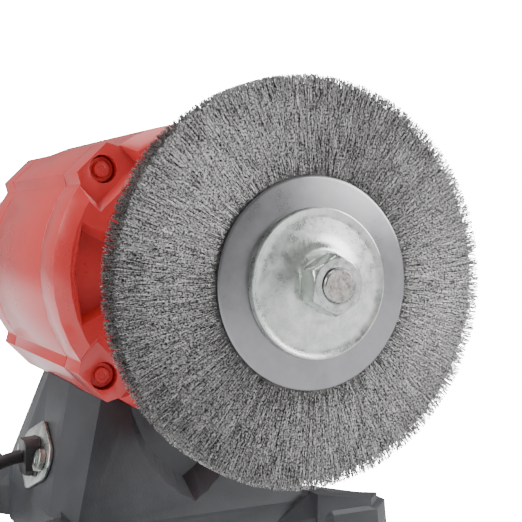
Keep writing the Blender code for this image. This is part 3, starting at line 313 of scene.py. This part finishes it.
def makeStrandLightGroup():
    # painted light and shade on the wires: dark streaks running outwards from the spindle axis stand for the
    # shade in the gaps between tufts, broken up by a fine speckle of painted light and shade wire by wire
    group, start, end = newGroup("paintedStrandLight", [("Tufts", 60)], [("Shade", "NodeSocketFloat")])
    new, link = group.nodes.new, group.links.new

    def maths(operation, first, second):
        step = new("ShaderNodeMath")
        step.operation = operation
        for socket, value in zip(step.inputs, (first, second)):
            if isinstance(value, (int, float)):
                socket.default_value = value
            else:
                link(value, socket)
        return step.outputs["Value"]

    where = new("ShaderNodeTexCoord")
    split = new("ShaderNodeSeparateXYZ")
    link(where.outputs["Object"], split.inputs["Vector"])
    lift = maths("SUBTRACT", split.outputs["Z"], axisZ)
    angle = maths("ARCTAN2", split.outputs["Y"], lift)
    reach = maths("SQRT", maths("ADD", maths("MULTIPLY", lift, lift),
                                maths("MULTIPLY", split.outputs["Y"], split.outputs["Y"])), 0)
    polar = new("ShaderNodeCombineXYZ")
    link(maths("MULTIPLY", angle, start.outputs["Tufts"]), polar.inputs["X"])
    link(maths("MULTIPLY", reach, strandLightLook["along"]), polar.inputs["Y"])
    tufts = new("ShaderNodeTexNoise")
    tufts.inputs["Scale"].default_value = 1
    tufts.inputs["Detail"].default_value = 3
    link(polar.outputs["Vector"], tufts.inputs["Vector"])
    speckle = new("ShaderNodeTexNoise")
    speckle.inputs["Scale"].default_value = strandLightLook["speckle"]
    speckle.inputs["Detail"].default_value = 2
    link(where.outputs["Object"], speckle.inputs["Vector"])
    both = maths("ADD", maths("MULTIPLY", tufts.outputs["Fac"], strandLightLook["tuftShare"]),
                 maths("MULTIPLY", speckle.outputs["Fac"], strandLightLook["speckleShare"]))
    link(maths("SUBTRACT", both, strandLightLook["base"]), end.inputs["Shade"])
    return group


strandLightGroup = makeStrandLightGroup()


def addRamp(tree, source, target, stops):
    ramp = tree.nodes.new("ShaderNodeValToRGB")
    while len(ramp.color_ramp.elements) < len(stops):
        ramp.color_ramp.elements.new(0.5)
    for element, (place, colour) in zip(ramp.color_ramp.elements, stops):
        element.position = place
        element.color = (*colour, 1)
    tree.links.new(source, ramp.inputs["Fac"])
    tree.links.new(ramp.outputs["Color"], target)


patchLow, patchHigh = 0.35, 0.65  # where the patches start and end


def makeFinish(name, look):
    # look: colours (dark, light), rough (low, high), and shader values under their own names
    material = bpy.data.materials.new(name)
    material.use_nodes = True
    tree = material.node_tree
    shader = tree.nodes["Principled BSDF"]
    grain = tree.nodes.new("ShaderNodeGroup")
    grain.node_tree = grainGroup
    grain.inputs["Scale"].default_value = look.get("grain", 900)
    grain.inputs["Depth"].default_value = look.get("depth", 0.05)
    grain.inputs["Patch Scale"].default_value = look.get("patch", 40)
    low, high = look["colours"]
    mask = grain.outputs["Patches"]
    # the wires take their painted light and shade from the streak group in place of the patches
    if look.get("strandLight"):
        strandLight = tree.nodes.new("ShaderNodeGroup")
        strandLight.node_tree = strandLightGroup
        strandLight.inputs["Tufts"].default_value = look["strandLight"]
        mask = strandLight.outputs["Shade"]
    addRamp(tree, mask, shader.inputs["Base Color"], [(patchLow, low), (patchHigh, high)])
    rough = tree.nodes.new("ShaderNodeMapRange")
    rough.inputs["From Min"].default_value, rough.inputs["From Max"].default_value = patchLow, patchHigh
    rough.inputs["To Min"].default_value, rough.inputs["To Max"].default_value = look["rough"]
    tree.links.new(grain.outputs["Patches"], rough.inputs["Value"])
    tree.links.new(rough.outputs["Result"], shader.inputs["Roughness"])
    normal = grain
    if look.get("turned"):
        normal = tree.nodes.new("ShaderNodeGroup")
        normal.node_tree = turningGroup
        normal.inputs["Spacing"].default_value = look["turned"]
        normal.inputs["Depth"].default_value = look.get("turnedDepth", 0.1)
    tree.links.new(normal.outputs["Normal"], shader.inputs["Normal"])
    shader.inputs["Metallic"].default_value = look.get("metal", 0)
    shader.inputs["Coat Weight"].default_value = look.get("coat", 0)
    shader.inputs["Coat Roughness"].default_value = look.get("coatRough", 0.1)
    shader.inputs["Specular IOR Level"].default_value = look.get("specular", 0.5)
    return material


finishes = {
    "redPaint": {"colours": ((0.54, 0.026, 0.025), (0.62, 0.036, 0.034)), "rough": (0.26, 0.34), "grain": 260,
                 "depth": 0.06, "patch": 18, "coat": 0.4, "coatRough": 0.12},
    "anthracite": {"colours": ((0.030, 0.033, 0.037), (0.041, 0.045, 0.050)), "rough": (0.42, 0.52),
                   "grain": 1500, "depth": 0.12, "patch": 30},
    "zinc": {"colours": ((0.50, 0.54, 0.51), (0.72, 0.75, 0.71)), "rough": (0.24, 0.36), "grain": 1100,
             "depth": 0.10, "patch": 260, "metal": 1},
    "hubSteel": {"colours": ((0.27, 0.27, 0.28), (0.32, 0.32, 0.33)), "rough": (0.27, 0.31), "metal": 1,
                 "patch": 90, "turned": 700, "turnedDepth": 0.03},
    "turnedSteel": {"colours": ((0.46, 0.46, 0.46), (0.60, 0.60, 0.60)), "rough": (0.22, 0.34), "metal": 1,
                    "patch": 120, "turned": 1400, "turnedDepth": 0.12},
    "sawnSteel": {"colours": ((0.24, 0.21, 0.19), (0.56, 0.54, 0.52)), "rough": (0.4, 0.6), "metal": 0.8,
                  "grain": 900, "depth": 0.6, "patch": 420},
    # the solid wire pack under the loose wires: its dark colour is painted shade for the depths among the
    # wires
    "wirePackPaintedShade": {"colours": ((0.07, 0.069, 0.067), (0.28, 0.276, 0.27)), "rough": (0.5, 0.8), "metal": 0.6,
                  "grain": 1500, "depth": 1.0, "patch": 700},
    # the wires: the dark end of this ramp is painted shade between tufts and wires, the light end is the
    # bright steel
    "wireSteelPaintedShade": {"colours": ((0.05, 0.049, 0.048), (0.78, 0.77, 0.76)), "rough": (0.3, 0.5), "metal": 1,
                  "grain": 2500, "depth": 0.1, "patch": 900, "strandLight": 130},
    "abrasive": {"colours": ((0.74, 0.73, 0.70), (0.93, 0.92, 0.90)), "rough": (0.85, 0.95), "grain": 2200,
                 "depth": 0.8, "patch": 1500},
    "lamination": {"colours": ((0.20, 0.20, 0.21), (0.30, 0.30, 0.32)), "rough": (0.4, 0.6), "metal": 0.9,
                   "grain": 1800, "depth": 0.3, "patch": 60},
    "copperWire": {"colours": ((0.45, 0.16, 0.06), (0.68, 0.30, 0.13)), "rough": (0.25, 0.4), "metal": 0.9,
                   "patch": 300, "turned": 1600, "turnedDepth": 0.8},
    "castAluminium": {"colours": ((0.60, 0.60, 0.62), (0.74, 0.74, 0.76)), "rough": (0.4, 0.55), "metal": 1,
                      "grain": 1200, "depth": 0.3, "patch": 80},
    "brass": {"colours": ((0.62, 0.42, 0.18), (0.82, 0.62, 0.32)), "rough": (0.22, 0.35), "metal": 1,
              "grain": 1500, "depth": 0.1, "patch": 120},
    "blackPlastic": {"colours": ((0.012, 0.012, 0.013), (0.020, 0.020, 0.022)), "rough": (0.34, 0.5),
                     "grain": 1600, "depth": 0.15, "patch": 60},
    "whitePlastic": {"colours": ((0.74, 0.73, 0.70), (0.84, 0.83, 0.80)), "rough": (0.4, 0.5), "grain": 900,
                     "depth": 0.08, "patch": 60},
    "rockerRed": {"colours": ((0.55, 0.012, 0.012), (0.62, 0.02, 0.02)), "rough": (0.2, 0.28), "grain": 700,
                  "depth": 0.04, "patch": 60, "coat": 0.4},
    "rubber": {"colours": ((0.010, 0.010, 0.010), (0.020, 0.020, 0.020)), "rough": (0.5, 0.7), "grain": 1400,
               "depth": 0.25, "patch": 120},
}
material = {name: makeFinish(name, look) for name, look in finishes.items()}
print("materials made")


# lead: strain relief to bench, one neat coil, then the plug
lead = {"radius": 0.00325, "points": [(0, 0.0640, 0.0466), (0, 0.0740, 0.0455), (0, 0.0870, 0.0375),
                                      (0, 0.0970, 0.0235), (0, 0.1070, 0.0095), (0, 0.1160, 0.0045),
                                      (0, 0.1250, 0.0034), (0, 0.1334, 0.0034)],
        "tail": [(-0.0726, 0.206, 0.0034), (-0.0800, 0.206, 0.0044), (-0.0880, 0.206, 0.0088),
                 (-0.0970, 0.206, 0.0128), (-0.1020, 0.206, 0.0132)],
        "centre": (-0.046, 0.160), "outer": 0.050, "pitch": 0.0068, "perTurn": 28, "turnsOut": 3}


def leadRoute():
    # in along the bench, three turns inwards, one step up, three turns outwards, and off towards the plug
    cx, cy = lead["centre"]
    r = lead["radius"]
    big = lead["outer"] - r - 0.0002
    route = [Vector(p) for p in lead["points"]]
    turns, per, pitch = lead["turnsOut"], lead["perTurn"], lead["pitch"]
    start = -math.pi / 6
    total = turns * per
    for k in range(total + 1):
        angle = start + 2 * math.pi * k / per
        radius = big - pitch * max(0, k / per - 0.25) * (turns - 1) / (turns - 0.25)
        route.append(Vector((cx + radius * math.cos(angle), cy + radius * math.sin(angle), r + 0.00012)))
    last = radius
    count = int((turns - 0.6) * per)
    for k in range(1, count + 1):
        angle = start + 2 * math.pi * k / per
        rise = min(1, k / (per * 0.35))
        radius = last + (big - last) * k / count
        route.append(Vector((cx + radius * math.cos(angle), cy + radius * math.sin(angle),
                             r + 0.00012 + (2 * r + 0.0003) * rise * rise * (3 - 2 * rise))))
    return route


def addLead():
    route = leadRoute()
    print("coil ends at", [round(c, 4) for c in route[-1]])
    route += [Vector(p) for p in lead["tail"][1:]]
    curve = bpy.data.curves.new("mainsLead", "CURVE")
    curve.dimensions = "3D"
    curve.bevel_depth = lead["radius"]
    curve.bevel_resolution = 4
    curve.use_fill_caps = True
    line = curve.splines.new("NURBS")
    line.points.add(len(route) - 1)
    for spot, place in zip(line.points, route):
        spot.co = (*place, 1)
    line.order_u = 3
    line.use_endpoint_u = True
    piece = bpy.data.objects.new("mainsLead", curve)
    bpy.context.scene.collection.objects.link(piece)
    fit(piece, "frame", material["rubber"], "rubber", "power_cord", "cord_coil", "cord_tail")


# motor and pedestal: node, finish, slot, edge width, edge segments, sharpest angle left smooth
castings = [
    ("base_casting", "anthracite", "anthracite", 0.0007, 2, 6.5),
    ("motor_barrel", "redPaint", "red_paint", 0.0005, 3, 20),
    ("end_shield_left", "redPaint", "red_paint", 0.0006, 3, 20),
    ("end_shield_right", "redPaint", "red_paint", 0.0006, 3, 20),
    ("base_cover", "hubSteel", "plate_steel", 0.0002, 1, 30),
    ("switch_housing", "blackPlastic", "black_plastic", 0.0004, 2, 30),
    ("cord_gland", "blackPlastic", "black_plastic", 0.0005, 2, 30),
    ("cord_plate", "zinc", "zinc", 0.0003, 2, 40),
    ("plug_body", "blackPlastic", "black_plastic", 0.0005, 2, 40),
]


def addCastings():
    for node, finish, slot, width, segments, angle in castings:
        piece = finePiece(node, width, segments, angle)
        fit(piece, "frame", material[finish], slot, node)
    rocker = finePiece("switch_rocker", 0.0006, 3)
    fit(rocker, "rocker", material["rockerRed"], "rocker_red", "switch_rocker")


addCastings()
print("castings finished")
addLead()
print("lead laid")


# wire brush
brush = {"faceLayers": 4, "faceWires": 2400, "backWires": 2400, "rimLayers": 2, "rimWires": 5200,
         "wire": 0.00011, "crimp": 0.00034, "wave": 0.0036, "step": 0.0026, "seed": 7,
         "skin": 0.0009,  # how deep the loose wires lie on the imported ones
         "core": 0.0225, "packRound": 0.0058, "packShort": 0.0040, "packEdge": 0.0008, "seatEdge": 0.0006,
         "shortest": 0.012, "longest": 0.022, "rimReach": 0.0075, "rimStep": 0.0018,
         "tip": 0.0002, "faceTip": 0.0010, "rimTip": 0.0009, "lean": 1.0, "jitter": 0.00012}


def addWires(name, count, layout):
    # each wire is a crimped line with a thin round section
    curve = bpy.data.curves.new(name, "CURVE")
    curve.dimensions = "3D"
    curve.bevel_depth = brush["wire"]
    curve.bevel_resolution = 0
    for k in range(count):
        points = layout(k)
        line = curve.splines.new("POLY")
        line.points.add(len(points) - 1)
        for spot, place in zip(line.points, points):
            spot.co = (*place, 1)
    piece = bpy.data.objects.new(name, curve)
    bpy.context.scene.collection.objects.link(piece)
    makeActive(piece)
    bpy.ops.object.convert(target="MESH")
    piece = bpy.context.object
    bpy.ops.object.shade_smooth()
    return piece


def addBrush():
    low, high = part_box("brush_wires")
    plateLow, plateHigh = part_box("brush_plate_outer")
    hubRadius = (plateHigh.z - plateLow.z) / 2
    radius = (high.z - low.z) / 2
    near, far = low.x + brush["skin"], high.x - brush["skin"]
    seat, roundStart, packed = hubRadius + 0.003, radius - brush["packRound"], radius - brush["packShort"]
    # a solid body fills the wire pack; it is coloured dark as painted shade seen between the loose wires
    body = turn("brushPack", [(near + brush["seatEdge"], brush["core"]), (near, seat), (near, roundStart),
                              (near + brush["packEdge"], packed), (far - brush["packEdge"], packed),
                              (far, roundStart), (far, seat), (far - brush["seatEdge"], brush["core"])], 128)
    fit(body, "spindle", material["wirePackPaintedShade"], "wire", "brush_wires")
    chance = random.Random(brush["seed"])

    def crimped(angle, start, end, x, lean, step):
        count = max(3, int((end - start) / step))
        phase = chance.uniform(0, 2 * math.pi)
        points = []
        for i in range(count + 1):
            r = start + (end - start) * i / count
            sway = brush["crimp"] * math.sin(2 * math.pi * r / brush["wave"] + phase) / r
            a = angle + sway + lean * (r - start)
            lift = chance.uniform(-brush["jitter"], brush["jitter"])
            points.append((x + lift, r * math.cos(a), axisZ + r * math.sin(a)))
        return points

    def faceWire(side):
        def layout(k):
            angle = chance.uniform(0, 2 * math.pi)
            start = hubRadius + 0.0003 + (radius - 0.014 - hubRadius) * chance.random() ** 1.2
            end = min(radius - chance.uniform(brush["tip"], brush["faceTip"]),
                      start + chance.uniform(brush["shortest"], brush["longest"]))
            depth = chance.uniform(0.0001, brush["skin"])
            x = low.x + depth if side == "near" else high.x - depth
            return crimped(angle, start, end, x, chance.uniform(-brush["lean"], brush["lean"]), brush["step"])
        return layout

    def rimWire(k):
        angle = chance.uniform(0, 2 * math.pi)
        x = chance.uniform(low.x + 0.0003, high.x - 0.0003)
        end = radius - chance.uniform(brush["tip"], brush["rimTip"])
        lean = chance.uniform(-brush["lean"], brush["lean"])
        return crimped(angle, radius - brush["rimReach"], end, x, lean, brush["rimStep"])

    layers = [(f"brushFaceWires{n}", brush["faceWires"], faceWire("near"))
              for n in range(brush["faceLayers"])]
    layers.append(("brushBackWires", brush["backWires"], faceWire("far")))
    layers += [(f"brushRimWires{n}", brush["rimWires"], rimWire) for n in range(brush["rimLayers"])]
    for name, count, layout in layers:
        fit(addWires(name, count, layout), "spindle", material["wireSteelPaintedShade"], "wire")


addBrush()
print("brush made")


# side plates, flanges, nuts and spindle
hub = {"plateRadius": 0.0385, "flangeRadius": 0.0272, "flangeRim": 0.003, "bore": 0.0063,
       "threadPitch": 0.00175, "threadDepth": 0.0009}


def addPlates():
    for node in ("brush_plate_outer", "brush_plate_inner"):
        low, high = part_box(node)
        out, back = (low.x, high.x) if node.endswith("outer") else (high.x, low.x)
        s = 1 if out < back else -1
        r = hub["plateRadius"]
        plate = turn(node + "_fine", [(out, hub["bore"]), (out, r - 0.0011), (out + s * 0.00012, r - 0.0005),
                                      (out + s * 0.0004, r - 0.0001), (back - s * 0.0003, r),
                                      (back, r - 0.0003), (back, hub["bore"])], 160)
        fit(plate, "spindle", material["hubSteel"], "plate_steel", node)


def addFlange(side):
    low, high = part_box(f"outer_flange_{side}")
    s = -1 if side == "left" else 1
    seat, boss = (high.x, low.x) if side == "left" else (low.x, high.x)
    r, rim = hub["flangeRadius"], seat + s * hub["flangeRim"]
    profile = [(seat, hub["bore"]), (seat, r - 0.0004), (seat + s * 0.0004, r), (rim - s * 0.0008, r),
               (rim - s * 0.0002, r - 0.0002), (rim, r - 0.0006), (rim - s * 0.0001, r - 0.0013),
               (rim - s * 0.0004, r - 0.0020), (rim - s * 0.0003, r - 0.0040), (rim + s * 0.0002, 0.0180),
               (rim + s * 0.0006, 0.0152), (rim + s * 0.0013, 0.0138), (rim + s * 0.0019, 0.0131),
               (boss - s * 0.0001, 0.0124), (boss, 0.0118), (boss, hub["bore"])]
    piece = turn(f"outer_flange_{side}_fine", profile, 128)
    fit(piece, "spindle", material["zinc"], "zinc", f"outer_flange_{side}")
    inner = finePiece(f"inner_flange_{side}", 0.0003, 2)
    fit(inner, "spindle", material["zinc"], "zinc", f"inner_flange_{side}")


nut = {"reach": 0.01097, "points": 72, "foot": 0.0004, "footChamfer": 0.0010, "topChamfer": 0.0016,
       "land": 0.0002, "mouth": 0.0068, "bore": 0.0061, "mouthDepth": 0.0006}


def addNut(side):
    low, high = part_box(f"nut_{side}")
    s = -1 if side == "left" else 1
    base, top = (high.x, low.x) if side == "left" else (low.x, high.x)
    reach, points = nut["reach"], nut["points"]
    flat = reach * math.cos(math.pi / 6)

    def hexLoop(x, limit):
        # a hexagon whose corners are cut back to a round limit, as a nut's chamfer leaves them
        loop = []
        for i in range(points):
            a = 2 * math.pi * i / points
            near = (a + math.pi / 6) % (math.pi / 3) - math.pi / 6
            r = min(flat / math.cos(near), limit)
            loop.append((x, r * math.cos(a), axisZ + r * math.sin(a)))
        return loop

    foot, land, depth = nut["foot"], nut["land"], nut["mouthDepth"]
    loops = [circleLoop(base, flat * 0.97, points), hexLoop(base + s * foot, flat * 1.01)]
    for share in (0.25, 0.5, 0.75, 1):
        loops.append(hexLoop(base + s * (foot + nut["footChamfer"] * share), flat + (reach - flat) * share))
    for share in (1, 0.75, 0.5, 0.25, 0):
        loops.append(hexLoop(top - s * (land + nut["topChamfer"] * share), flat + (reach - flat) * share))
    loops.append(circleLoop(top, flat * 0.965, points))
    for x, r in ((top, nut["mouth"]), (top - s * depth, nut["bore"]), (base + s * depth, nut["bore"]),
                 (base, nut["mouth"])):
        loops.append(circleLoop(x, r, points))
    piece = raiseLoops(f"nut_{side}_fine", loops + loops[:1], capped=False)
    fit(piece, "spindle", material["zinc"], "zinc", f"nut_{side}")


spindle = {"shoulder": 0.1466, "thread": 0.006, "body": 0.0075, "collarEnd": 0.0623, "collar": 0.010,
           "endRadius": 0.0054, "endChamfer": 0.0003, "offset": 0.0012}


def addSpindle():
    # turned steps, a thread at each end, and sawn end faces
    x0, x1 = shaftLow.x, shaftHigh.x
    shoulder, thread, body = spindle["shoulder"], spindle["thread"], spindle["body"]
    collar, collarEnd, chamfer = spindle["collar"], spindle["collarEnd"], spindle["endChamfer"]
    profile = [(x0, spindle["endRadius"]), (x0 + chamfer, spindle["endRadius"] + chamfer)]
    depth, pitch = hub["threadDepth"] / 2, hub["threadPitch"]
    runs = int((shoulder * -1 - 0.002 - (x0 + 0.001)) / pitch)
    for k in range(runs):
        start = x0 + 0.0009 + k * pitch
        profile += [(start, thread - depth), (start + pitch * 0.40, thread),
                    (start + pitch * 0.55, thread), (start + pitch * 0.92, thread - depth)]
    profile += [(-shoulder - 0.001, thread), (-shoulder, thread), (-shoulder + 0.0001, body - 0.0004),
                (-shoulder + 0.0005, body), (-collarEnd, body), (-collarEnd + 0.0002, collar - 0.0002),
                (-collarEnd + 0.0006, collar)]
    mirrored = [(-x, r) for x, r in profile[::-1]]
    mirrored = [(x - spindle["offset"] if 0.06 < x < 0.063 else x, r) for x, r in mirrored]
    piece = turn("shaft_fine", profile + mirrored, 48, solid=True)
    fit(piece, "spindle", material["turnedSteel"], "steel", "shaft")
    piece.data.materials.append(material["sawnSteel"])
    for face in piece.data.polygons:
        if abs(face.normal.x) > 0.9 and abs(face.center.x) > x1 - 0.0004:
            face.material_index = 1


addPlates()
for side in ("left", "right"):
    addFlange(side)
    addNut(side)
addSpindle()
print("hub parts made")


# grinding wheel
wheel = {"bore": 0.0163, "edge": 0.0012, "edgeIn": 0.0003, "edgeDown": 0.0004}


def addWheel():
    low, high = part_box("grinding_wheel")
    radius = (high.z - low.z) / 2
    x0, x1, edge = low.x, high.x, wheel["edge"]
    shoulder = radius - wheel["edgeDown"]
    profile = [(x0, wheel["bore"]), (x0, radius - edge), (x0 + wheel["edgeIn"], shoulder),
               (x0 + edge, radius), (x1 - edge, radius), (x1 - wheel["edgeIn"], shoulder),
               (x1, radius - edge), (x1, wheel["bore"])]
    piece = turn("grinding_wheel_fine", profile, 160)
    fit(piece, "spindle", material["abrasive"], "abrasive", "grinding_wheel")


addWheel()
print("wheel made")


# small parts: rounded copies, and everything inside keeps its CAD shape
def dressNode(name, finish):
    nodes[name].data.materials.clear()
    nodes[name].data.materials.append(material[finish])


plain = {"white_plastic": "whitePlastic", "zinc": "zinc", "steel": "turnedSteel", "brass": "brass",
         "copper": "copperWire", "lamination": "lamination", "aluminium": "castAluminium",
         "plate_steel": "hubSteel", "rubber": "rubber", "black_plastic": "blackPlastic",
         "red_paint": "redPaint", "abrasive": "abrasive", "anthracite": "anthracite",
         "wire": "wireSteelPaintedShade", "rocker_red": "rockerRed"}
slotOf = {entry["node"]: entry["material_slot"] for entry in frame["record"]["subparts"]}
for name in nodes:
    dressNode(name, plain[slotOf[name]])

screw = {"flange": 0.0056, "round": 0.0036, "shank": 0.0020, "rise": 0.0012, "thick": 0.0016, "edge": 0.0004}


def addShieldScrew(node):
    # a flanged head with a raised round in its middle, on a plain shank
    low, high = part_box(node)
    out, tip, inward = (low.x, high.x, 1) if low.x < 0 else (high.x, low.x, -1)
    flange, middle, shank = screw["flange"], screw["round"], screw["shank"]
    seat = out + inward * screw["rise"]
    back = seat + inward * screw["thick"]
    edge = screw["edge"]
    profile = [(out + inward * 0.0003, 0.0016), (out, 0.0020), (out, middle - edge),
               (out + inward * edge, middle), (seat, middle), (seat, flange - edge),
               (seat + inward * edge, flange), (back, flange), (back, shank),
               (tip - inward * edge, shank), (tip, shank - edge)]
    centre = ((low.y + high.y) / 2, (low.z + high.z) / 2 - axisZ)
    piece = raiseLoops(node + "_fine", [circleLoop(x, r, 48, centre) for x, r in profile])
    fit(piece, "frame", material["redPaint"], "red_paint", node)


for name in list(nodes):
    if name.startswith("foot_"):
        fit(finePiece(name, 0.0008, 3), "frame", material["rubber"], "rubber", name)
    if name.startswith("shield_screw"):
        addShieldScrew(name)
    if name.startswith("cord_plate_screw"):
        fit(finePiece(name, 0.0005, 3), "frame", material["zinc"], "zinc", name)
print("small parts finished")
